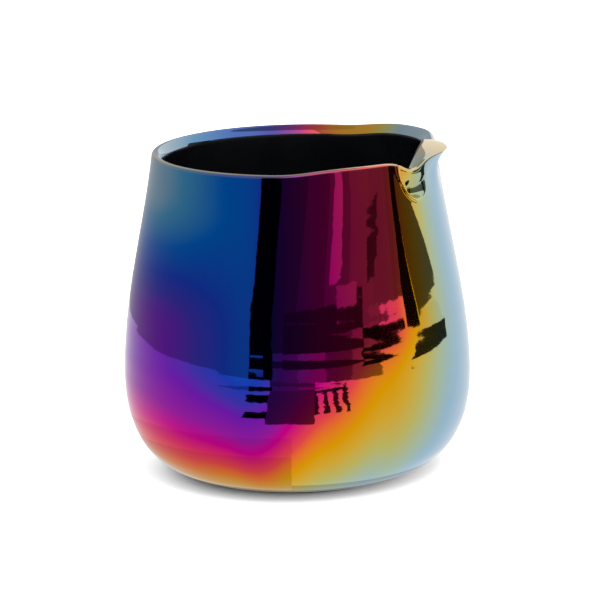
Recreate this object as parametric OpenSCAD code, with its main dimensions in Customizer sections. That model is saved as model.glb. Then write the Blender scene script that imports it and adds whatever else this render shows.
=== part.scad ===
// Handle-less ceramic milk jug with a pulled pouring lip.
// Z is up, the lip points along +X, and the origin is at the centre of the foot, on the table.
// The fired clay is one piece; three fired glaze coats lie on it as thin solids that touch it
// face to face.

/* [Body] */
// Height of the plain rim above the table
rim_z = 89.55; // [80:0.1:100]
// Outer radius at the plain rim
rim_r = 38.9; // [36:0.1:42]
// Widest outer radius
belly_r = 48; // [46:0.1:54]
// Height of the widest place
belly_z = 27.8; // [24:0.1:34]
// Outer radius at which the body turns under to the foot
base_r = 30; // [28:0.1:34]
// Height of the bare foot ring
foot_h = 1; // [0.6:0.1:2]
// Width of the foot ring, measured along the radius
foot_w = 5; // [3:0.1:8]

/* [Wall] */
// Wall thickness
wall_t = 3.4; // [2.8:0.1:4]
// Distance from the outer to the inner edge of the rounded rim
rim_t = 3.5; // [2.6:0.1:4]
// Height of the rim's crown above its outer edge
rim_top = 0.93; // [0.6:0.01:1.6]
// Height of the rounded rim above the line between its two edges
rim_up = 1.7; // [1:0.1:2]
// How far the rim's inner edge lies below its outer edge
rim_drop = 2.2; // [0:0.1:3]
// Height of the inside floor above the table
floor_z = 5; // [4:0.1:7]

/* [Profile curves] */
// Length of the flat start of the lower curve
low_pull = 3.2; // [0:0.1:10]
// Length of the upright end of the lower curve
low_rise = 24.6; // [16:0.1:26]
// Length of the upright start of the shoulder curve
up_pull = 20.7; // [10:0.1:26]
// Height of the leaning end of the shoulder curve
top_pull = 17.6; // [10:0.1:24]
// How far the wall leans in over that height
top_lean = 2.25; // [1:0.05:4]

/* [Pouring lip] */
// How far the lip reaches past the plain rim
lip_reach = 4.9; // [2:0.1:6]
// How far the lip rises above the plain rim
lip_rise = 2; // [0:0.1:4]
// Half angle of the lip's nose
lip_spread = 9.8; // [7:0.1:12]
// Half angle of the raised part of the lip
lip_flat = 17; // [13:0.1:19]
// Slope of the lip's end above the horizontal, in degrees
lip_tilt = 48; // [15:1:60]
// Part of the rim thickness that pulling the lip took away
lip_thin = 0.65; // [0:0.05:0.7]
// How far the lip's inner edge rises above the inner edge of the plain rim
lip_ledge = 3.2; // [1:0.1:4]
// Angle by which the hand-pulled lip sits off the centre line
lip_turn = 3; // [0:0.5:4]
// Sideways tilt of the lip, as a slope
lip_skew = 0.1; // [0:0.01:0.15]

/* [Pinches beside the lip] */
// Angle of each notch from the centre line
notch_at = 20.5; // [17:0.5:22]
// Spread of each notch toward the lip, in degrees
notch_spread = 4.4; // [3:0.1:6]
// Spread of each notch away from the lip, in degrees
notch_run = 7.5; // [4:0.1:9]
// Depth of the notch on the right of the lip
notch_drop = 2; // [0:0.1:3]
// Depth of the notch on the left of the lip
far_notch_drop = 0.5; // [0:0.1:3]
// Depth of the thumb pinch in the outer face
pinch_depth = 2.7; // [0:0.1:3]
// Height of the small ridge round the pinch
pinch_ridge = 0.3; // [0:0.05:0.8]
// Depth of the pinch on the left of the lip, as a share of the other
far_pinch = 0.35; // [0:0.05:1]
// Width of the pinch, away from the lip
pinch_w = 9.2; // [7:0.1:12]
// Height of the pinch below the rim
pinch_h = 8.3; // [6:0.1:11]

/* [Shoulders of the rim] */
// Angle of each raised shoulder from the centre line
shoulder_at = 41; // [36:1:48]
// Spread of each shoulder toward the lip, in degrees
shoulder_spread = 12; // [9:0.5:15]
// Height of each shoulder above the plain rim
shoulder_rise = 1.6; // [0:0.1:3]
// Bulge of each shoulder past the plain rim
shoulder_out = 2.8; // [0:0.1:4]
// Height at which that bulge starts
swell_z = 40; // [25:1:60]

/* [Glaze] */
// Thickness of the fired glaze coats
glaze_t = 0.35; // [0.25:0.05:0.5]
// Bare clay between the foot ring and the edge of each glaze
bare_gap = 0.5; // [0.3:0.1:1]

/* [Smoothness] */
// Columns around the jug
columns = 56; // [48:8:72]
// How strongly the columns gather toward the lip
gather = 0.6; // [0:0.05:0.7]
// Rows on the lower curve
low_rows = 8; // [6:1:10]
// Rows on the shoulder curve
up_rows = 5; // [4:1:8]
// Rows on the shaped band below the rim
top_rows = 9; // [6:1:10]
// Rows over the rounded rim
rim_rows = 7; // [5:1:8]

/* [Hidden] */

// Share of the shoulder curve that stays a plain surface of revolution.
join_t = 0.74;
// Depth of the shaped band, as the pinch measures it.
band_h = 13.5;
// Radius at which the pinch's width is measured.
pinch_r = 39.5;
// Angle of the pinch's middle from the centre line.
pinch_at = 20;
embed = 1;
fine = 96;
coat_z = foot_h + glaze_t;
foot_out_r = base_r - bare_gap;
foot_in_r = foot_out_r - foot_w;

low_curve = [
    [base_r, foot_h],
    [base_r + low_pull, foot_h],
    [belly_r, belly_z - low_rise],
    [belly_r, belly_z]
];
up_curve = [
    [belly_r, belly_z],
    [belly_r, belly_z + up_pull],
    [rim_r + top_lean, rim_z - rim_top - top_pull],
    [rim_r, rim_z - rim_top]
];

// ---- small mathematics
function unit(v) = v / norm(v);
function side(v) = [v[1], -v[0]];
function bell(x, spread) = exp(-0.5 * pow(x / spread, 2));
function clamp(x) = min(1, max(0, x));
function smooth(t) = t * t * (3 - 2 * t);
function ease(from, to, x) = smooth(clamp((x - from) / (to - from)));

function bezier(c, t) =
    pow(1 - t, 3) * c[0] + 3 * pow(1 - t, 2) * t * c[1] + 3 * (1 - t) * t * t * c[2] + pow(t, 3) * c[3];

function bezier_dir(c, t) =
    unit(pow(1 - t, 2) * (c[1] - c[0]) + 2 * (1 - t) * t * (c[2] - c[1]) + t * t * (c[3] - c[2]));

// ---- shape of the rim around the jug, by angle from the lip's centre line
function nose(a) = abs(a - lip_turn);
function flare(a) = exp(-pow(nose(a) / 15, 3));

function shoulder_fade(a) =
    abs(a) < shoulder_at ? bell(abs(a) - shoulder_at, shoulder_spread)
    : exp(-pow((abs(a) - shoulder_at) / 30, 4));

function shoulder_bulge(a) =
    abs(a) < shoulder_at ? bell(abs(a) - shoulder_at, shoulder_spread)
    : bell(abs(a) - shoulder_at, shoulder_spread * 2.1);

function notch(a) =
    (a > 0 ? far_notch_drop : notch_drop)
    * bell(abs(a) - notch_at, abs(a) > notch_at ? notch_run : notch_spread);

function rim_shift(a) = [
    lip_reach * bell(nose(a), lip_spread),
    lip_rise * exp(-pow(nose(a) / lip_flat, 4))
    + shoulder_rise * shoulder_fade(a)
    - notch(a)
    + lip_skew * rim_r * sin(a) * bell(a, 13)
];

// How far the wall bulges out under the two shoulders of the rim.
function swell(a, z) = shoulder_out * shoulder_bulge(a) * ease(swell_z, rim_z - 1, z);

function rim_dir(a) =
    let (lean = 94, tilt = lean - (lean - lip_tilt) * flare(a))
    [cos(tilt), sin(tilt)];

function thin_at(a) = 1 - lip_thin * flare(a);

function pulled_curve(start, along, end, up, first, last) =
    let (span = norm(end - start))
    [start, start + first * span * along, end - last * span * up, end];

// From the plain wall to the outer edge of the rounded rim.
function outer_curve(a) =
    pulled_curve(
        bezier(up_curve, join_t),
        bezier_dir(up_curve, join_t),
        [rim_r - rim_up, rim_z - rim_top] + rim_shift(a) + rim_up * thin_at(a) * side(rim_dir(a)),
        rim_dir(a),
        0.42 + 0.2 * flare(a),
        0.27 + 0.05 * flare(a)
    );

// From the plain inner wall to the inner edge of the rounded rim.
function inner_curve(a) =
    let (along = bezier_dir(up_curve, join_t))
    pulled_curve(
        bezier(up_curve, join_t) - wall_t * side(along),
        along,
        [rim_r - rim_t, rim_z - rim_top - rim_drop + rim_shift(a)[1] + lip_ledge * flare(a)],
        rim_dir(a),
        0.42,
        0.2
    );

// ---- thumb pinch: inward press beside the lip, in the outer and in the inner face
function pinch_out(a, depth) =
    let (
        u = (abs(a) - pinch_at) * pinch_r * PI / 180,
        reach = norm([max(0, u) / pinch_w, depth / pinch_h]),
        ridge = pinch_ridge * bell(reach - 1.03, 0.045) * ease(-3, 2, u),
        bottom = 0.15 + 0.85 * ease(0, 0.7 * pinch_h, depth),
        press = pinch_depth * bottom * ease(-5, 2, u) * (1 - ease(0.84, 1, reach))
    )
    a > 0 ? -far_pinch * press : ridge - press;

function pinch_in(a, depth) =
    let (u = (abs(a) - pinch_at) * pinch_r * PI / 180)
    -exp(-pow((u - 2) / 6, 2)) * exp(-pow(depth / 8, 2));

// ---- wall thickness by height, below the shaped band
function wall_at(z) =
    let (f = (z - foot_h) / (rim_z - foot_h), low = floor_z - foot_h)
    low + (wall_t - low) * ease(0, 0.25, f);

// A plain section is [outer point, outward direction, inner point].
function plain_section(c, t) =
    let (p = bezier(c, t), n = side(bezier_dir(c, t)))
    [p, n, p - wall_at(p[1]) * n];

plain_sections = concat(
    [for (i = [0:low_rows]) plain_section(low_curve, i / low_rows)],
    [for (i = [1:up_rows]) plain_section(up_curve, join_t * i / up_rows)]
);

// A point of the shaped band, pushed along the radius by press.
function shaped_point(c, s, press, deep) =
    bezier(c, s) + [press * ease(0, 0.5, s), 0] - deep * side(bezier_dir(c, s));

// Points over the rounded rim, between its outer and its inner edge.
function rim_points(a, outer, inner, deep) =
    let (
        mid = (outer + inner) / 2,
        across = (norm(outer - inner) / 2 - deep) * unit(outer - inner),
        up = (rim_up * thin_at(a) - deep) * rim_dir(a)
    )
    [
        for (i = [1:rim_rows - 1])
            mid + cos(180 * i / rim_rows) * across + sin(180 * i / rim_rows) * up
    ];

// One column of the surface from the foot, up, over the rim and down to the floor, lying
// deep below the finished surface. Depth 0 is the glazed face, glaze_t is the clay's face.
function column(a, deep) =
    let (
        oc = outer_curve(a),
        ic = inner_curve(a),
        outer = shaped_point(oc, 1, pinch_out(a, 0), 0),
        inner = shaped_point(ic, 1, pinch_in(a, 0), 0)
    )
    concat(
        [for (p = plain_sections) p[0] - deep * p[1]],
        [
            for (i = [1:top_rows])
                let (s = i / top_rows)
                shaped_point(oc, s, pinch_out(a, (1 - s) * band_h), deep)
        ],
        rim_points(a, outer, inner, deep),
        [
            for (i = [top_rows:-1:1])
                let (s = i / top_rows)
                shaped_point(ic, s, pinch_in(a, (1 - s) * band_h), -deep)
        ],
        [for (i = [len(plain_sections) - 1:-1:0]) plain_sections[i][2] + deep * plain_sections[i][1]]
    );

function column_angle(i) =
    let (even = 360 * i / columns - 180)
    even - gather * sin(even) * 180 / PI;

wall_rows = low_rows + 1 + up_rows + top_rows;
all_rows = 2 * wall_rows + rim_rows - 1;
coat_end = wall_rows + rim_rows - 2;

// Points of rows from..to, row after row.
function rows(from, to, deep) =
    let (cols = [for (i = [0:columns - 1]) column(column_angle(i), deep)])
    [
        for (k = [from:to]) for (i = [0:columns - 1])
            let (
                a = column_angle(i),
                p = cols[i][k],
                r = p[0] + swell(a, p[1]) * min(1, p[0] / 30)
            )
            [r * cos(a), r * sin(a), p[1]]
    ];

// Triangles between two rings of points that start at index lower and upper.
function band(lower, upper) = [
    for (i = [0:columns - 1])
        let (j = (i + 1) % columns)
        each [
            [lower + i, upper + i, upper + j],
            [lower + i, upper + j, lower + j]
        ]
];

// Triangles of a sheet of count rows that starts at index first.
function sheet(first, count) = [
    for (k = [0:count - 2]) each band(first + k * columns, first + (k + 1) * columns)
];

function fan(ring, centre) = [
    for (i = [0:columns - 1]) [ring + i, centre, ring + (i + 1) % columns]
];

function flipped(faces) = [for (f = faces) [f[2], f[1], f[0]]];

// ---- pieces
module clay_wall() {
    points = concat(rows(0, all_rows - 1, glaze_t), [[0, 0, coat_z], [0, 0, floor_z - glaze_t]]);
    count = all_rows * columns;
    polyhedron(
        points,
        concat(
            sheet(0, all_rows),
            flipped(fan(0, count)),
            fan(count - columns, count + 1)
        )
    );
}

module foot_ring() {
    rotate_extrude($fn = fine)
        polygon([
            [foot_in_r, 0],
            [foot_out_r, 0],
            [foot_out_r, coat_z + embed],
            [foot_in_r, coat_z + embed]
        ]);
}

module clay_body() {
    color([0.16, 0.15, 0.15]) union() {
        clay_wall();
        foot_ring();
    }
}

module outer_glaze() {
    count = (coat_end + 1) * columns;
    color([0.32, 0.16, 0.62])
        polyhedron(
            concat(rows(0, coat_end, 0), rows(0, coat_end, glaze_t)),
            concat(
                sheet(0, coat_end + 1),
                flipped(sheet(count, coat_end + 1)),
                flipped(band(0, count)),
                band(count - columns, 2 * count - columns)
            )
        );
}

module inner_glaze() {
    lining_rows = all_rows - coat_end;
    count = lining_rows * columns;
    color([0.03, 0.03, 0.04])
        polyhedron(
            concat(
                rows(coat_end, all_rows - 1, 0),
                rows(coat_end, all_rows - 1, glaze_t),
                [[0, 0, floor_z], [0, 0, floor_z - glaze_t]]
            ),
            concat(
                sheet(0, lining_rows),
                flipped(sheet(count, lining_rows)),
                flipped(band(0, count)),
                fan(count - columns, 2 * count),
                flipped(fan(2 * count - columns, 2 * count + 1))
            )
        );
}

module base_glaze() {
    color([0.04, 0.04, 0.05])
        translate([0, 0, foot_h])
            cylinder(r = foot_in_r - bare_gap, h = glaze_t, $fn = fine);
}

clay_body();
outer_glaze();
inner_glaze();
base_glaze();
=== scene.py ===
"""Handle-less ceramic milk jug with an iridescent lustre glaze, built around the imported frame.

Z is up, the pouring lip points along +X and the table is at z = 0. The shape functions below
work in millimetres and degrees, with the same parameters as the frame's source; every mesh is
turned into metres when it is made.
"""

import math

import bpy
import numpy as np
from mathutils import Matrix


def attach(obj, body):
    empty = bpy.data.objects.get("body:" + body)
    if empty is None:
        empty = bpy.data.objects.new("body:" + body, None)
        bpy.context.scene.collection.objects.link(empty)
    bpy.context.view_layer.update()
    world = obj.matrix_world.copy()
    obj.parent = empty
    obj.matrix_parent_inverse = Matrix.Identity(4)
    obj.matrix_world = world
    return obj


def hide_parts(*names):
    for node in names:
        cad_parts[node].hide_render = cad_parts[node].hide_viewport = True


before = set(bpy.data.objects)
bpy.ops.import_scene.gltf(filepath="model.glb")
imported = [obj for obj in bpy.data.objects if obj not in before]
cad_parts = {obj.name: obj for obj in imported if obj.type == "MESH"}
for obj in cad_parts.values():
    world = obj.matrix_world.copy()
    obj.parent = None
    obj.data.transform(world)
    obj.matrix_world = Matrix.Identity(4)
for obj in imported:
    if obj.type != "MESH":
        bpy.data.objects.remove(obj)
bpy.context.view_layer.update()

MM = 0.001

# ---- parameters shared with the frame, in millimetres and degrees
RIM_Z = 89.55
RIM_R = 38.9
BELLY_R = 48.0
BELLY_Z = 27.8
BASE_R = 30.0
FOOT_H = 1.0
FOOT_W = 5.0
WALL_T = 3.4
RIM_T = 3.5
RIM_TOP = 0.93
RIM_UP = 1.7
RIM_DROP = 2.2
FLOOR_Z = 5.0
LOW_PULL = 3.2
LOW_RISE = 24.6
UP_PULL = 20.7
TOP_PULL = 17.6
TOP_LEAN = 2.25
LIP_REACH = 4.9
LIP_RISE = 2.0
LIP_SPREAD = 9.8
LIP_FLAT = 17.0
LIP_TILT = 48.0
LIP_THIN = 0.65
LIP_LEDGE = 3.2
LIP_TURN = 3.0
LIP_SKEW = 0.1
NOTCH_AT = 20.5
NOTCH_SPREAD = 4.4
NOTCH_RUN = 7.5
NOTCH_DROP = 2.0
FAR_NOTCH_DROP = 0.5
PINCH_DEPTH = 2.7
PINCH_RIDGE = 0.3
FAR_PINCH = 0.35
PINCH_W = 9.2
PINCH_H = 8.3
PINCH_R = 39.5
PINCH_AT = 20.0
SHOULDER_AT = 41.0
SHOULDER_SPREAD = 12.0
SHOULDER_RISE = 1.6
SHOULDER_OUT = 2.8
SWELL_Z = 40.0
GLAZE_T = 0.35
BARE_GAP = 0.5
JOIN_T = 0.74
BAND_H = 13.5
GATHER = 0.6
RIM_LEAN = 94.0

# ---- the visual model's own: the wall leans a little more below the rim than the frame's does,
# and the lustre ends at this share of the way over the rim
WALL_LEAN = 98.0
COAT_STOP = 6.0 / 7.0

COAT_Z = FOOT_H + GLAZE_T
FOOT_OUT_R = BASE_R - BARE_GAP
FOOT_IN_R = FOOT_OUT_R - FOOT_W

# ---- camera, in millimetres and degrees
CAMERA_TURN = -75.5
CAMERA_LIFT = 13.15
CAMERA_FAR = 900.0
CAMERA_AIM = 47.0
CAMERA_SIDE = 1.08
CAMERA_ROLL = -1.1
CAMERA_LENS = 195.0

LOW_CURVE = (
    (BASE_R, FOOT_H),
    (BASE_R + LOW_PULL, FOOT_H),
    (BELLY_R, BELLY_Z - LOW_RISE),
    (BELLY_R, BELLY_Z),
)
UP_CURVE = (
    (BELLY_R, BELLY_Z),
    (BELLY_R, BELLY_Z + UP_PULL),
    (RIM_R + TOP_LEAN, RIM_Z - RIM_TOP - TOP_PULL),
    (RIM_R, RIM_Z - RIM_TOP),
)


# ---- small mathematics; points are arrays whose last axis is (radius, height)
def pair(r, z):
    return np.stack(np.broadcast_arrays(r, z), axis=-1).astype(float)


def bell(x, spread):
    return np.exp(-0.5 * (x / spread) ** 2)


def ease(start, end, x):
    t = np.clip((x - start) / (end - start), 0.0, 1.0)
    return t * t * (3.0 - 2.0 * t)


def length(v):
    return np.linalg.norm(v, axis=-1, keepdims=True)


def unit(v):
    return v / length(v)


def side(v):
    return pair(v[..., 1], -v[..., 0])


def bezier(curve, t):
    a, b, c, d = (np.asarray(p, float) for p in curve)
    s = 1.0 - t
    return s**3 * a + 3 * s * s * t * b + 3 * s * t * t * c + t**3 * d


def bezier_dir(curve, t):
    a, b, c, d = (np.asarray(p, float) for p in curve)
    s = 1.0 - t
    return unit(s * s * (b - a) + 2 * s * t * (c - b) + t * t * (d - c))


# ---- shape of the rim and the lip, by angle from +X in degrees
def flare(a):
    return np.exp(-((np.abs(a - LIP_TURN) / 15.0) ** 3))


def shoulder_fade(a):
    past = np.abs(a) - SHOULDER_AT
    return np.where(past < 0, bell(past, SHOULDER_SPREAD), np.exp(-((past / 30.0) ** 4)))


def shoulder_bulge(a):
    past = np.abs(a) - SHOULDER_AT
    return bell(past, np.where(past < 0, SHOULDER_SPREAD, SHOULDER_SPREAD * 2.1))


def rim_shift(a):
    nose = np.abs(a - LIP_TURN)
    out = LIP_REACH * bell(nose, LIP_SPREAD)
    past = np.abs(a) - NOTCH_AT
    drop = np.where(a > 0, FAR_NOTCH_DROP, NOTCH_DROP)
    notch = drop * bell(past, np.where(past > 0, NOTCH_RUN, NOTCH_SPREAD))
    skew = LIP_SKEW * RIM_R * np.sin(np.radians(a)) * bell(a, 13.0)
    rise = LIP_RISE * np.exp(-((nose / LIP_FLAT) ** 4)) + SHOULDER_RISE * shoulder_fade(a)
    return pair(out, rise - notch + skew)


def swell(a, z):
    """How far the wall bulges out under the two shoulders of the rim."""
    return SHOULDER_OUT * shoulder_bulge(a) * ease(SWELL_Z, RIM_Z - 1, z)


def rim_dir(a, lean=RIM_LEAN):
    tilt = np.radians(lean - (lean - LIP_TILT) * flare(a))
    return pair(np.cos(tilt), np.sin(tilt))


def thin_at(a):
    return 1.0 - LIP_THIN * flare(a)


def pulled_curve(start, along, end, up, pulls):
    span = length(end - start)
    first, last = (np.asarray(pull).reshape(-1, 1) for pull in pulls)
    return start, start + first * span * along, end - last * span * up, end


def outer_curve(a):
    """From the plain wall to the outer edge of the rounded rim."""
    up = rim_dir(a)
    start = np.broadcast_to(bezier(UP_CURVE, JOIN_T), up.shape)
    rim = np.array([RIM_R - RIM_UP, RIM_Z - RIM_TOP])
    end = rim + rim_shift(a) + RIM_UP * thin_at(a)[:, None] * side(up)
    pulls = (0.42 + 0.2 * flare(a), 0.27 + 0.05 * flare(a))
    return pulled_curve(start, bezier_dir(UP_CURVE, JOIN_T), end, rim_dir(a, WALL_LEAN), pulls)


def inner_curve(a):
    """From the plain inner wall to the inner edge of the rounded rim."""
    up = rim_dir(a)
    lift = rim_shift(a)[:, 1] + LIP_LEDGE * flare(a)
    end = pair(RIM_R - RIM_T, RIM_Z - RIM_TOP - RIM_DROP + lift)
    along = bezier_dir(UP_CURVE, JOIN_T)
    start = bezier(UP_CURVE, JOIN_T) - WALL_T * side(along)
    start = np.broadcast_to(start, up.shape)
    return pulled_curve(start, along, end, up, (0.42, 0.2))


def pinch_out(a, depth):
    """Thumb press under the rim beside the lip, deepest at its foot, with a small ridge round it."""
    u = np.radians(np.abs(a) - PINCH_AT) * PINCH_R
    reach = np.hypot(np.maximum(0, u) / PINCH_W, depth / PINCH_H)
    ridge = PINCH_RIDGE * bell(reach - 1.03, 0.045) * ease(-3, 2, u)
    floor = 0.15 + 0.85 * ease(0, 0.7 * PINCH_H, depth)
    press = PINCH_DEPTH * floor * ease(-5, 2, u) * (1 - ease(0.84, 1.0, reach))
    return np.where(a > 0, -FAR_PINCH * press, ridge - press)


def pinch_in(a, depth):
    u = np.radians(np.abs(a) - PINCH_AT) * PINCH_R
    return -np.exp(-(((u - 2) / 6) ** 2)) * np.exp(-((depth / 8) ** 2))


def wall_at(z):
    f = (z - FOOT_H) / (RIM_Z - FOOT_H)
    base = FLOOR_Z - FOOT_H
    return base + (WALL_T - base) * ease(0, 0.25, f)


# ---- throwing marks: uneven rings and a slow warp, by angle and height
def wave_set(seed, count, tall, around, power):
    rng = np.random.default_rng(seed)
    pitch = rng.uniform(*tall, count)
    turns = rng.integers(around[0], around[1] + 1, count)
    phase = rng.uniform(0, 2 * math.pi, count)
    share = (pitch / tall[1]) ** power
    return list(zip(pitch, turns, phase, share / math.sqrt(np.sum(share**2) / 2)))


RINGS = wave_set(11, 14, (2.8, 8.0), (-3, 3), 1.0)
WARPS = wave_set(23, 10, (22.0, 60.0), (-5, 5), 0.5)
DIMPLES = wave_set(37, 16, (6.0, 16.0), (-14, 14), 0.7)
RING_SIZE = 0.010
WARP_SIZE = 0.03
DIMPLE_SIZE = 0.002


def waves(kinds, a, z):
    total = np.zeros(np.broadcast(a, z).shape)
    for pitch, turns, phase, share in kinds:
        total += share * np.sin(2 * math.pi * z / pitch + np.radians(a) * turns + phase)
    return total


def throwing_marks(a, z):
    body = ease(2, 9, z) * (1 - 0.75 * ease(70, 84, z))
    rings = RING_SIZE * (1.5 - 0.5 * ease(24, 40, z) - 0.75 * ease(46, 66, z)) * waves(RINGS, a, z)
    return body * (rings + WARP_SIZE * waves(WARPS, a, z) + DIMPLE_SIZE * waves(DIMPLES, a, z))


# ---- rows of points, for every column at once, lying deep below the finished surface
def plain_rows(a, low, up):
    """(outer point, outward direction, inner point) from the foot to the shaped band."""
    places = [(LOW_CURVE, t) for t in np.linspace(0, 1, low + 1)]
    places += [(UP_CURVE, t) for t in np.linspace(0, JOIN_T, up + 1)[1:]]
    rows = []
    for curve, t in places:
        point = bezier(curve, t)
        out = side(bezier_dir(curve, t))
        inner = point - wall_at(point[1]) * out
        rows.append([np.broadcast_to(v, (len(a), 2)) for v in (point, out, inner)])
    return rows


def shaped_point(curve, s, press, deep):
    """A point of the shaped band, pushed along the radius by press."""
    out = side(bezier_dir(curve, s))
    return bezier(curve, s) + pair(press * ease(0, 0.5, s), 0) - deep * out, out


def outer_face(a, counts, deep, marked):
    low, up, top = counts
    rows = [(point - deep * out, out) for point, out, _ in plain_rows(a, low, up)]
    curve = outer_curve(a)
    for s in np.linspace(0, 1, top + 1)[1:]:
        rows.append(shaped_point(curve, s, pinch_out(a, (1 - s) * BAND_H), deep))
    if marked:
        return [point + throwing_marks(a, point[:, 1])[:, None] * out for point, out in rows]
    return [point for point, _ in rows]


def inner_face(a, counts, deep):
    low, up, top = counts
    curve = inner_curve(a)
    rows = []
    for s in np.linspace(1, 0, top + 1)[:-1]:
        rows.append(shaped_point(curve, s, pinch_in(a, (1 - s) * BAND_H), -deep)[0])
    return rows + [inner + deep * out for _, out, inner in plain_rows(a, low, up)[::-1]]


def rim_face(a, deep, places):
    """Rows over the rounded rim; places run from 0 at its outer edge to 1 at its inner edge."""
    outer = shaped_point(outer_curve(a), 1.0, pinch_out(a, 0.0), 0.0)[0]
    inner = shaped_point(inner_curve(a), 1.0, pinch_in(a, 0.0), 0.0)[0]
    mid = (outer + inner) / 2
    half = length(outer - inner) / 2
    across = (half - deep) * unit(outer - inner)
    up = (RIM_UP * thin_at(a)[:, None] - deep) * rim_dir(a)
    turns = np.pi * np.asarray(places)
    return [mid + np.cos(t) * across + np.sin(t) * up for t in turns]


def round_end(upper, lower, count=6):
    """Rows that close a coat's edge with a half round, from its face to its back."""
    mid = (upper[-1] + lower[-1]) / 2
    across = (upper[-1] - lower[-1]) / 2
    ahead = unit(upper[-1] - upper[-2]) * length(across)
    turns = np.pi * np.arange(1, count) / count
    return [mid + np.cos(t) * across + np.sin(t) * ahead for t in turns]


def column_angles(count):
    even = 360.0 * np.arange(count) / count - 180.0
    return even - GATHER * np.degrees(np.sin(np.radians(even)))


# ---- meshes
def on_columns(rows, a):
    flat = np.stack(rows)
    turn = np.radians(a)
    z = flat[..., 1]
    r = flat[..., 0] + swell(a, z) * np.minimum(1, flat[..., 0] / 30)
    return np.stack([r * np.cos(turn), r * np.sin(turn), z], axis=-1)


def grid_faces(rows, columns, closed):
    k = np.arange(rows if closed else rows - 1)[:, None]
    i = np.arange(columns)[None, :]
    low = k * columns
    high = (k + 1) % rows * columns
    j = (i + 1) % columns
    return np.stack([low + i, low + j, high + j, high + i], axis=-1).reshape(-1, 4)


def new_piece(name, points, faces):
    mesh = bpy.data.meshes.new(name)
    mesh.from_pydata((points * MM).tolist(), [], faces)
    mesh.validate()
    mesh.shade_smooth()
    piece = bpy.data.objects.new(name, mesh)
    bpy.context.collection.objects.link(piece)
    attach(piece, "root")
    return piece


def ring_piece(name, rows, a):
    """A closed tube of rows: a coat with a face, a back and two round edges."""
    points = on_columns(rows, a)
    faces = grid_faces(len(rows), len(a), True)
    return new_piece(name, points.reshape(-1, 3), faces.tolist())


def capped_piece(name, rows, a, first, last):
    """Rows of a closed skin that starts and ends at a point on the axis."""
    count = len(a)
    points = on_columns(rows, a).reshape(-1, 3)
    start = len(points)
    points = np.vstack([points, [0, 0, first], [0, 0, last]])
    faces = grid_faces(len(rows), count, False).tolist()
    end = (len(rows) - 1) * count
    for i in range(count):
        j = (i + 1) % count
        faces.append([start, j, i])
        faces.append([start + 1, end + i, end + j])
    return new_piece(name, points, faces)


def set_number(piece, name, values):
    data = piece.data.attributes.new(name, "FLOAT", "POINT")
    data.data.foreach_set("value", np.asarray(values, np.float32).ravel())


# ---- the lustre's film: its order at each point, from pale cream (0) to pale blue (12)
FILM_TURN = 14.5
FILM_FIRST = 0.6
FILM_LAST = 12.0
FILM_SWEEP = ((-1.0, -0.3, 1.6), (-0.35, 0.15, 3.6), (0.0, 0.5, 1.1), (0.5, 1.0, 4.8))
FILM_LEFT = 3.9
FILM_FOOT = 5.0
FILM_HOLLOW = 2.0
FILM_RIGHT = 1.4
FILM_BACK_RIM = 1.7


def film_order(x, y, z):
    """A sweep from left to right that grows toward the foot, soonest at the left."""
    turn = math.radians(FILM_TURN)
    across = (x * math.cos(turn) + y * math.sin(turn)) / np.maximum(np.hypot(x, y), 1e-6)
    away = y * math.cos(turn) - x * math.sin(turn)
    order = FILM_FIRST + sum(rise * ease(start, end, across) for start, end, rise in FILM_SWEEP)
    order += FILM_LEFT * (1 - ease(46, 82, z)) * (1 - ease(-1.0, -0.15, across))
    order += FILM_RIGHT * (1 - ease(34, 50, z)) * bell(across - 0.56, 0.18)
    low = np.clip(1 - z / 38, 0, 1) ** 1.3
    order += FILM_FOOT * low * (1 - ease(0.1, 1.2, across))
    order += FILM_HOLLOW * low * bell(across + 0.35, 0.2)
    order += FILM_BACK_RIM * ease(5, 25, away) * ease(85, 88, z) * ease(-0.1, 0.4, across)
    return np.clip(order, 0, FILM_LAST)


def make_outer_glaze():
    a = column_angles(360)
    rim = np.linspace(0, COAT_STOP, 27)[1:]
    outer = outer_face(a, (56, 44, 54), 0.0, True)
    face = outer + rim_face(a, 0.0, rim)
    back = outer_face(a, (9, 7, 10), GLAZE_T, False) + rim_face(a, GLAZE_T, rim[2::3])
    rows = face + round_end(face, back) + back[::-1] + round_end(face[::-1], back[::-1])[::-1]
    piece = ring_piece("lustre_coat", rows, a)
    points = on_columns(rows, a).reshape(-1, 3)
    set_number(piece, "film", film_order(*points.T) / FILM_LAST)
    # Mix toward cream over the rim: the flare term is the lip's own cream lustre, and the 0.12 pales
    # the whole rim a little. The bell at the sixth rim row is a painted highlight, a pale line along
    # the rim's crest that stands in for a reflected light.
    rim_cream_and_highlight = np.zeros((len(rows), len(a)))
    first = len(outer)
    line = 0.12 + 0.85 * bell(np.arange(26) - 6.0, 1.4)
    rim_cream_and_highlight[first : first + 26] = np.maximum(line[:, None], flare(a)[None, :])
    set_number(piece, "rim_cream_and_highlight", rim_cream_and_highlight)
    return piece


def make_inner_glaze():
    a = column_angles(300)
    rim = np.linspace(COAT_STOP, 1, 6)[:-1]
    face = rim_face(a, 0.0, rim) + inner_face(a, (26, 30, 34), 0.0)
    back = rim_face(a, GLAZE_T, rim[::4]) + inner_face(a, (9, 10, 12), GLAZE_T)
    radii = np.array([29.0, 27.5, 25.5, 23, 20, 17, 14, 11, 8, 5, 2])
    swirl = 0.12 * np.cos(radii / 1.6)
    face += [pair(np.full(len(a), r), FLOOR_Z + s) for r, s in zip(radii, swirl)]
    back += [pair(np.full(len(a), r), FLOOR_Z - GLAZE_T) for r in radii[::3]]
    edge = round_end(face[::-1], back[::-1])
    rows = back[::-1] + edge[::-1] + face
    return capped_piece("black_liner", rows, a, FLOOR_Z - GLAZE_T, FLOOR_Z + 0.05)


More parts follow.
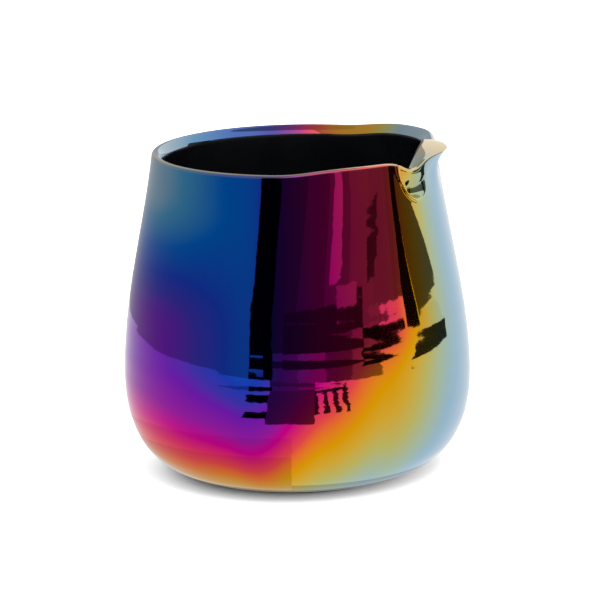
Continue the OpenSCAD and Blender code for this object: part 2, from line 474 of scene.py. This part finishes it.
def foot_profile():
    turn = np.radians(np.arange(0, 91, 18))
    soft = 0.4
    inner = [(FOOT_IN_R + soft - soft * math.cos(t), soft - soft * math.sin(t)) for t in turn]
    outer = [(FOOT_OUT_R - soft + soft * math.sin(t), soft - soft * math.cos(t)) for t in turn]
    gap = [(FOOT_OUT_R, COAT_Z - 0.2), (FOOT_OUT_R + 0.06, COAT_Z - 0.06), (FOOT_OUT_R + 0.2, COAT_Z)]
    start = [(12.0, COAT_Z), (FOOT_IN_R - 0.2, COAT_Z), (FOOT_IN_R, COAT_Z - 0.2)]
    middle = [(26.0, -0.0), (27.0, 0.0), (28.0, 0.0)]
    return start + inner + middle + outer + gap


def make_clay_body():
    a = column_angles(240)
    rows = [pair(np.full(len(a), r), z) for r, z in foot_profile()]
    counts = (30, 24, 30)
    rows += outer_face(a, counts, GLAZE_T, False)
    rows += rim_face(a, GLAZE_T, np.linspace(0, 1, 13)[1:-1])
    rows += inner_face(a, counts, GLAZE_T)
    rows += [pair(np.full(len(a), r), FLOOR_Z - GLAZE_T) for r in (22.0, 12.0)]
    return capped_piece("clay_wall", rows, a, COAT_Z, FLOOR_Z - GLAZE_T)


def make_base_glaze():
    a = column_angles(160)
    edge = FOOT_IN_R - BARE_GAP
    half = GLAZE_T / 2
    turn = np.radians(np.arange(-90, 91, 22.5))
    radii = np.array([3.0, 8, 13, 17, 20, 22, edge - half])
    under = [pair(np.full(len(a), r), FOOT_H + 0.12 * bell(r, 12.0)) for r in radii]
    bead = [pair(np.full(len(a), edge - half + half * math.cos(t)),
                 FOOT_H + half + half * math.sin(t)) for t in turn[1:-1]]
    upper = [pair(np.full(len(a), r), COAT_Z) for r in radii[::-1]]
    return capped_piece("base_pool", under + bead + upper, a, FOOT_H + 0.12, COAT_Z)


# ---- materials
def new_material(name):
    material = bpy.data.materials.new(name)
    material.use_nodes = True
    nodes = material.node_tree.nodes
    return material, nodes, material.node_tree.links, nodes["Principled BSDF"]


# The lustre's colours by the film's order
FILM_COLOURS = (
    (0.0, (0.42, 0.46, 0.44)),
    (1.0, (0.05, 0.24, 0.44)),
    (2.0, (0.0, 0.10, 0.45)),
    (3.0, (0.01, 0.04, 0.40)),
    (3.6, (0.04, 0.03, 0.36)),
    (4.2, (0.13, 0.01, 0.36)),
    (5.3, (0.26, 0.01, 0.30)),
    (6.1, (0.52, 0.0, 0.22)),
    (6.7, (0.66, 0.02, 0.12)),
    (7.3, (0.74, 0.06, 0.06)),
    (7.8, (0.76, 0.16, 0.02)),
    (8.5, (0.67, 0.30, 0.0)),
    (9.2, (0.62, 0.37, 0.03)),
    (10.0, (0.47, 0.44, 0.12)),
    (10.8, (0.35, 0.46, 0.34)),
    (11.5, (0.26, 0.43, 0.56)),
    (12.0, (0.30, 0.45, 0.58)),
)


def noise(nodes, scale, detail, vector, links):
    made = nodes.new("ShaderNodeTexNoise")
    made.inputs["Scale"].default_value = scale
    made.inputs["Detail"].default_value = detail
    links.new(vector, made.inputs["Vector"])
    return made


def lustre_material():
    material, nodes, links, shader = new_material("lustre_glaze")
    place = nodes.new("ShaderNodeTexCoord")
    film = nodes.new("ShaderNodeAttribute")
    film.attribute_name = "film"
    cloud = noise(nodes, 38.0, 3.0, place.outputs["Object"], links)
    shift = nodes.new("ShaderNodeMath")
    shift.operation = "MULTIPLY_ADD"
    shift.inputs[1].default_value = 0.03
    links.new(cloud.outputs["Fac"], shift.inputs[0])
    links.new(film.outputs["Fac"], shift.inputs[2])
    centre = nodes.new("ShaderNodeMath")
    centre.operation = "SUBTRACT"
    centre.inputs[1].default_value = 0.015
    links.new(shift.outputs[0], centre.inputs[0])
    ramp = nodes.new("ShaderNodeValToRGB")
    ramp.color_ramp.interpolation = "LINEAR"
    stops = ramp.color_ramp.elements
    stops[0].position = 0.0
    stops[1].position = 1.0
    stops[0].color = (*FILM_COLOURS[0][1], 1.0)
    stops[1].color = (*FILM_COLOURS[-1][1], 1.0)
    for order, colour in FILM_COLOURS[1:-1]:
        stops.new(order / FILM_LAST).color = (*colour, 1.0)
    links.new(centre.outputs[0], ramp.inputs["Fac"])
    # Mix toward cream by the rim attribute: the lip's own cream, a slight paling of the rim, and a
    # painted highlight line along the rim's crest.
    rim_cream_and_highlight = nodes.new("ShaderNodeAttribute")
    rim_cream_and_highlight.attribute_name = "rim_cream_and_highlight"
    pale = nodes.new("ShaderNodeMix")
    pale.data_type = "RGBA"
    pale.inputs["B"].default_value = (0.64, 0.51, 0.31, 1.0)
    links.new(ramp.outputs["Color"], pale.inputs["A"])
    links.new(rim_cream_and_highlight.outputs["Fac"], pale.inputs["Factor"])
    links.new(pale.outputs["Result"], shader.inputs["Base Color"])
    shader.inputs["Metallic"].default_value = 1.0
    shader.inputs["Roughness"].default_value = 0.035
    skin = noise(nodes, 420.0, 2.0, place.outputs["Object"], links)
    bump = nodes.new("ShaderNodeBump")
    bump.inputs["Strength"].default_value = 0.005
    bump.inputs["Distance"].default_value = 0.001
    links.new(skin.outputs["Fac"], bump.inputs["Height"])
    links.new(bump.outputs["Normal"], shader.inputs["Normal"])
    return material


def liner_material():
    material, nodes, links, shader = new_material("liner_glaze")
    place = nodes.new("ShaderNodeTexCoord")
    cloud = noise(nodes, 60.0, 4.0, place.outputs["Object"], links)
    ramp = nodes.new("ShaderNodeValToRGB")
    ramp.color_ramp.elements[0].position = 0.35
    ramp.color_ramp.elements[0].color = (0.0030, 0.0034, 0.0045, 1)
    ramp.color_ramp.elements[1].position = 0.7
    ramp.color_ramp.elements[1].color = (0.0065, 0.0070, 0.0085, 1)
    links.new(cloud.outputs["Fac"], ramp.inputs["Fac"])
    links.new(ramp.outputs["Color"], shader.inputs["Base Color"])
    shader.inputs["Roughness"].default_value = 0.24
    shader.inputs["Specular IOR Level"].default_value = 0.35
    skin = noise(nodes, 300.0, 3.0, place.outputs["Object"], links)
    bump = nodes.new("ShaderNodeBump")
    bump.inputs["Strength"].default_value = 0.08
    bump.inputs["Distance"].default_value = 0.001
    links.new(skin.outputs["Fac"], bump.inputs["Height"])
    links.new(bump.outputs["Normal"], shader.inputs["Normal"])
    return material


def clay_material():
    material, nodes, links, shader = new_material("fired_clay")
    place = nodes.new("ShaderNodeTexCoord")
    grain = noise(nodes, 900.0, 6.0, place.outputs["Object"], links)
    ramp = nodes.new("ShaderNodeValToRGB")
    ramp.color_ramp.elements[0].position = 0.3
    ramp.color_ramp.elements[0].color = (0.030, 0.026, 0.024, 1)
    ramp.color_ramp.elements[1].position = 0.75
    ramp.color_ramp.elements[1].color = (0.085, 0.075, 0.068, 1)
    links.new(grain.outputs["Fac"], ramp.inputs["Fac"])
    links.new(ramp.outputs["Color"], shader.inputs["Base Color"])
    shader.inputs["Roughness"].default_value = 0.88
    bump = nodes.new("ShaderNodeBump")
    bump.inputs["Strength"].default_value = 0.5
    bump.inputs["Distance"].default_value = 0.0004
    links.new(grain.outputs["Fac"], bump.inputs["Height"])
    links.new(bump.outputs["Normal"], shader.inputs["Normal"])
    return material


def dress(piece, material, slot, *nodes):
    piece.data.materials.clear()
    piece.data.materials.append(material)
    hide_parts(*nodes)


# ---- studio
def glow_material(name, level):
    """Plain white glow, where a level of 1 is the lowest that shows as full white."""
    material = bpy.data.materials.new(name)
    material.use_nodes = True
    nodes = material.node_tree.nodes
    nodes.clear()
    glow = nodes.new("ShaderNodeEmission")
    glow.inputs["Color"].default_value = (1.0, 1.0, 1.0, 1.0)
    glow.inputs["Strength"].default_value = level
    out = nodes.new("ShaderNodeOutputMaterial")
    material.node_tree.links.new(glow.outputs[0], out.inputs["Surface"])
    return material


def only_reflected(obj):
    obj.visible_camera = False
    obj.visible_diffuse = False
    obj.visible_shadow = False
    obj.visible_transmission = False
    obj.visible_volume_scatter = False


def stage_mesh(name, points, faces, material):
    mesh = bpy.data.meshes.new(name)
    mesh.from_pydata(points, [], faces)
    obj = bpy.data.objects.new(name, mesh)
    bpy.context.collection.objects.link(obj)
    mesh.materials.append(material)
    return obj


def turned(turn, radius, z):
    """A point at a turn from the camera's side, in degrees, toward the camera's right."""
    t = math.radians(CAMERA_TURN + turn)
    return (radius * math.cos(t), radius * math.sin(t), z)


def around(turn, height, layer):
    """A point of the surroundings: on a round wall, or on the table if it is low.

    Height is the angle above the level of the jug's middle. Each layer lies a little nearer
    to the jug than the one before it.
    """
    reach = ROOM_R
    z = EYE_Z + ROOM_R * math.tan(math.radians(height))
    if z < 0:
        reach = EYE_Z / math.tan(math.radians(-height))
        z = 0.0
    near = 1.0 - 0.003 * layer
    return turned(turn, reach * near, EYE_Z + (z - EYE_Z) * near)


def make_card(layer, name, level, corners):
    """A glowing patch that shows only in reflections, from its lower left corner round."""
    low_left, low_right, up_right, up_left = np.array(corners, float)
    wide = max(low_right[0] - low_left[0], up_right[0] - up_left[0])
    steps = max(2, int(wide / CARD_STEP) + 1)
    rng = np.random.default_rng(layer)
    small = ROUGH_EDGE if wide < WIDE_CARD else 0.5 * ROUGH_EDGE
    shift = rng.normal(0, small, (2, CARD_ROWS)).clip(-2 * small, 2 * small)
    lift = rng.normal(0, 0.3 * small, (2, steps))
    points = []
    for row, v in enumerate(np.linspace(0, 1, CARD_ROWS)):
        left = low_left + v * (up_left - low_left) + (shift[0, row], 0)
        right = low_right + v * (up_right - low_right) + (shift[1, row], 0)
        for i, u in enumerate(np.linspace(0, 1, steps)):
            rise = lift[0, i] * (v == 0) + lift[1, i] * (v == 1)
            points.append(around(*(left + u * (right - left) + (0, rise)), layer))
    faces = []
    for row in range(CARD_ROWS - 1):
        first = row * steps
        for i in range(first, first + steps - 1):
            faces.append([i, i + 1, i + steps + 1, i + steps])
    only_reflected(stage_mesh(name, points, faces, glow_material(name, level)))


# The table gives off light of its own away from the foot, which keeps the contact shadow small
GLOW_CENTRE = (-0.0029, -0.0008, 0.0)
GLOW_START = 0.026
GLOW_END = 0.040
GLOW_LEVEL = 0.5
TABLE_HALF = 6.0


def make_floor():
    material, nodes, links, shader = new_material("white_table")
    shader.inputs["Base Color"].default_value = (0.93, 0.93, 0.93, 1.0)
    shader.inputs["Roughness"].default_value = 0.9
    shader.inputs["Specular IOR Level"].default_value = 0.1
    place = nodes.new("ShaderNodeTexCoord")
    reach = nodes.new("ShaderNodeVectorMath")
    reach.operation = "LENGTH"
    middle = nodes.new("ShaderNodeVectorMath")
    middle.operation = "SUBTRACT"
    middle.inputs[1].default_value = GLOW_CENTRE
    links.new(place.outputs["Object"], middle.inputs[0])
    links.new(middle.outputs["Vector"], reach.inputs[0])
    bounce = nodes.new("ShaderNodeMapRange")
    bounce.interpolation_type = "SMOOTHSTEP"
    bounce.inputs["From Min"].default_value = GLOW_START
    bounce.inputs["From Max"].default_value = GLOW_END
    bounce.inputs["To Max"].default_value = GLOW_LEVEL
    links.new(reach.outputs["Value"], bounce.inputs["Value"])
    links.new(bounce.outputs["Result"], shader.inputs["Emission Strength"])
    shader.inputs["Emission Color"].default_value = (1.0, 1.0, 1.0, 1.0)
    signs = ((-1, -1), (1, -1), (1, 1), (-1, 1))
    points = [(TABLE_HALF * x, TABLE_HALF * y, 0) for x, y in signs]
    stage_mesh("table", points, [[0, 1, 2, 3]], material)


def make_mirrored_table():
    """Rings of light and shade on the table, and a ceiling, that show only in reflections."""
    turns = np.linspace(-180, 180, 73)
    rings = (
        ("table_light", 0.0385, 3.0, 1.0),
        ("table_shadow", 0.034, 0.0385, 0.66),
        ("table_contact", 0.024, 0.034, 0.32),
    )
    faces = [[i, i + 1, 73 + i + 1, 73 + i] for i in range(72)]
    for name, near, far, level in rings:
        points = [turned(t, r, 0.0001) for r in (near, far) for t in turns]
        only_reflected(stage_mesh(name, points, faces, glow_material(name, level)))
    points = [turned(t, 0.34, 0.75) for t in turns[:-1]]
    disc = stage_mesh("ceiling", points, [list(range(72))], glow_material("ceiling", 0.4))
    only_reflected(disc)


def make_world():
    world = bpy.data.worlds.new("studio")
    world.use_nodes = True
    world.node_tree.nodes["Background"].inputs["Color"].default_value = (1, 1, 1, 1)
    world.node_tree.nodes["Background"].inputs["Strength"].default_value = 1.1
    bpy.context.scene.world = world


# ---- the surroundings as the glaze mirrors them, listed in degrees of turn and height
EYE_Z = 0.055
ROOM_R = 0.5
ROUGH_EDGE = 0.55
CARD_ROWS = 13
CARD_STEP = 2.5
WIDE_CARD = 22
CARD_TOP = 28
SCREEN_LEVEL = 0.53
SCREEN_START = -185
SCREEN_STEP = 32
SCREEN_FEET = (-13, -12, -9, -8, -7, -8)
ROOM_START = -17
ROOM_STEP = 17
ROOM_FOOT = -3
ROOM_LEAN = 4
PANEL_LAP = 2.5
ROOM_LEVELS = (0.06, 0.09, 0.14, 0.2, 0.18, 0.15)
CHEST_FOOT = -8
CHEST_LEVELS = (0.2, 0.3, 0.13, 0.26)
TOOTH_START = 8
TOOTH_STEP = 6
TEETH = 4
BAR_START = -24
BAR_STEP = 7
BARS = 2
CARDS = (
    ("table_shade_wide", 0.88, ((-185, -57), (-3, -57), (-3, -35), (-185, -39))),
    ("table_shade", 0.76, ((-185, -57), (-3, -57), (-3, -43), (-185, -47))),
    ("mat", 0.13, ((-17, -28), (8, -28), (10, -8), (-17, -8))),
    ("shelf", 0.035, ((-9, -3), (42, -3), (42, 0), (-9, 2))),
    ("window", 0.5, ((20, 3), (27, 3), (21, 28), (14, 28))),
    ("lamp", 0.36, ((24, 0), (38, -1), (38, 1), (24, 2))),
    ("frame", 0.05, ((46, 0), (51, 0), (58, 3), (46, 3))),
    ("bench", 0.006, ((40, -5), (74, -5), (74, -4), (42, -3))),
    ("curtain", 0.1, ((88, -4), (112, -2), (117, 28), (96, 28))),
    ("doorway", 0.9, ((84, -6), (115, -6), (106, -3), (88, -4))),
    ("step", 0.03, ((74, -10), (112, -9), (115, -6), (82, -6))),
    ("flag_left", 0.003, ((-30, -8), (-15, -8), (-19, 28), (-30, 28))),
    ("flag_right", 0.006, ((76, -5), (88, -5), (97, 28), (86, 28))),
)


def panel(name, level, turns, heights, lean=0):
    """A card with an upright or leaning pair of sides."""
    left, right = turns
    foot, top = heights
    return name, level, ((left, foot), (right, foot), (right - lean, top), (left - lean, top))


def screen_panels():
    """A pale screen round the left and the back, whose foot drops away behind the jug."""
    rows = []
    for i in range(len(SCREEN_FEET) - 1):
        left = SCREEN_START + SCREEN_STEP * i
        right = left + SCREEN_STEP + 4
        feet = SCREEN_FEET[i : i + 2]
        corners = ((left, feet[0]), (right, feet[1]), (right, 70), (left, 70))
        rows.append((f"screen_{i + 1}", SCREEN_LEVEL, corners))
    return rows


def room_panels():
    """The dark room on the right: tall wall panels, with a row of low chests before them."""
    rows = []
    for i, level in enumerate(ROOM_LEVELS):
        turns = (ROOM_START + ROOM_STEP * i, ROOM_START + ROOM_STEP * (i + 1) + PANEL_LAP)
        rows.append(panel(f"wall_{i + 1}", level, turns, (ROOM_FOOT, CARD_TOP), ROOM_LEAN))
    for i, level in enumerate(CHEST_LEVELS):
        turns = (ROOM_START + ROOM_STEP * i, ROOM_START + ROOM_STEP * (i + 1) + PANEL_LAP)
        rows.append(panel(f"chest_{i + 1}", level, turns, (CHEST_FOOT, ROOM_FOOT + 0.5)))
    return rows


def table_bars():
    """Dark bars and an even comb lying on the table, in front of the room."""
    rows = []
    for i in range(BARS):
        foot = BAR_START + BAR_STEP * i
        rows.append(panel(f"bar_{i + 1}", 0.003, (-30, -16), (foot, foot + 5)))
    for i in range(TEETH):
        left = TOOTH_START + TOOTH_STEP * i
        rows.append(panel(f"tooth_{i + 1}", 0.05, (left, left + 3), (-22, -10)))
    rows.append(panel("comb_back", 0.03, (TOOTH_START, 29), (-11, -9)))
    return rows


def make_cards():
    cards = screen_panels() + room_panels() + table_bars() + list(CARDS)
    for layer, card in enumerate(cards):
        make_card(layer, *card)


LAMP_ENERGY = 2.2
LAMP_SPREAD = 40
LAMP_TILT = 28
LAMP_TURN = 25


def make_overhead():
    """Soft light from above, which keeps the shadow under the belly tight."""
    data = bpy.data.lights.new("overhead", "SUN")
    data.energy = LAMP_ENERGY
    data.angle = math.radians(LAMP_SPREAD)
    lamp = bpy.data.objects.new("overhead", data)
    lamp.rotation_euler = (0, math.radians(LAMP_TILT), math.radians(CAMERA_TURN + LAMP_TURN))
    lamp.visible_glossy = False
    bpy.context.collection.objects.link(lamp)


def set_scene():
    """Plain colours, and no light thrown on to the table by the mirror-bright glaze."""
    bpy.context.scene.view_settings.view_transform = "Standard"
    bpy.context.scene.cycles.caustics_reflective = False


def make_camera():
    data = bpy.data.cameras.new("camera")
    data.lens = CAMERA_LENS
    data.sensor_width = 36.0
    data.clip_start = 0.01
    camera = bpy.data.objects.new("camera", data)
    bpy.context.collection.objects.link(camera)
    turn = math.radians(CAMERA_TURN)
    lift = math.radians(CAMERA_LIFT)
    side_x = -math.sin(turn) * CAMERA_SIDE
    side_y = math.cos(turn) * CAMERA_SIDE
    flat = CAMERA_FAR * math.cos(lift)
    camera.location = (
        (flat * math.cos(turn) + side_x) * MM,
        (flat * math.sin(turn) + side_y) * MM,
        (CAMERA_AIM + CAMERA_FAR * math.sin(lift)) * MM,
    )
    look = Matrix.Rotation(turn + math.pi / 2, 4, "Z") @ Matrix.Rotation(math.pi / 2 - lift, 4, "X")
    look = look @ Matrix.Rotation(math.radians(CAMERA_ROLL), 4, "Z")
    camera.rotation_euler = look.to_euler()
    bpy.context.scene.camera = camera


make_camera()
make_world()
make_floor()
make_mirrored_table()
make_cards()
make_overhead()
set_scene()

lustre = lustre_material()
liner = liner_material()
clay = clay_material()
dress(make_outer_glaze(), lustre, "lustre_glaze", "outer_glaze")
dress(make_inner_glaze(), liner, "liner_glaze", "inner_glaze")
dress(make_clay_body(), clay, "clay", "clay_body")
dress(make_base_glaze(), liner, "liner_glaze", "base_glaze")
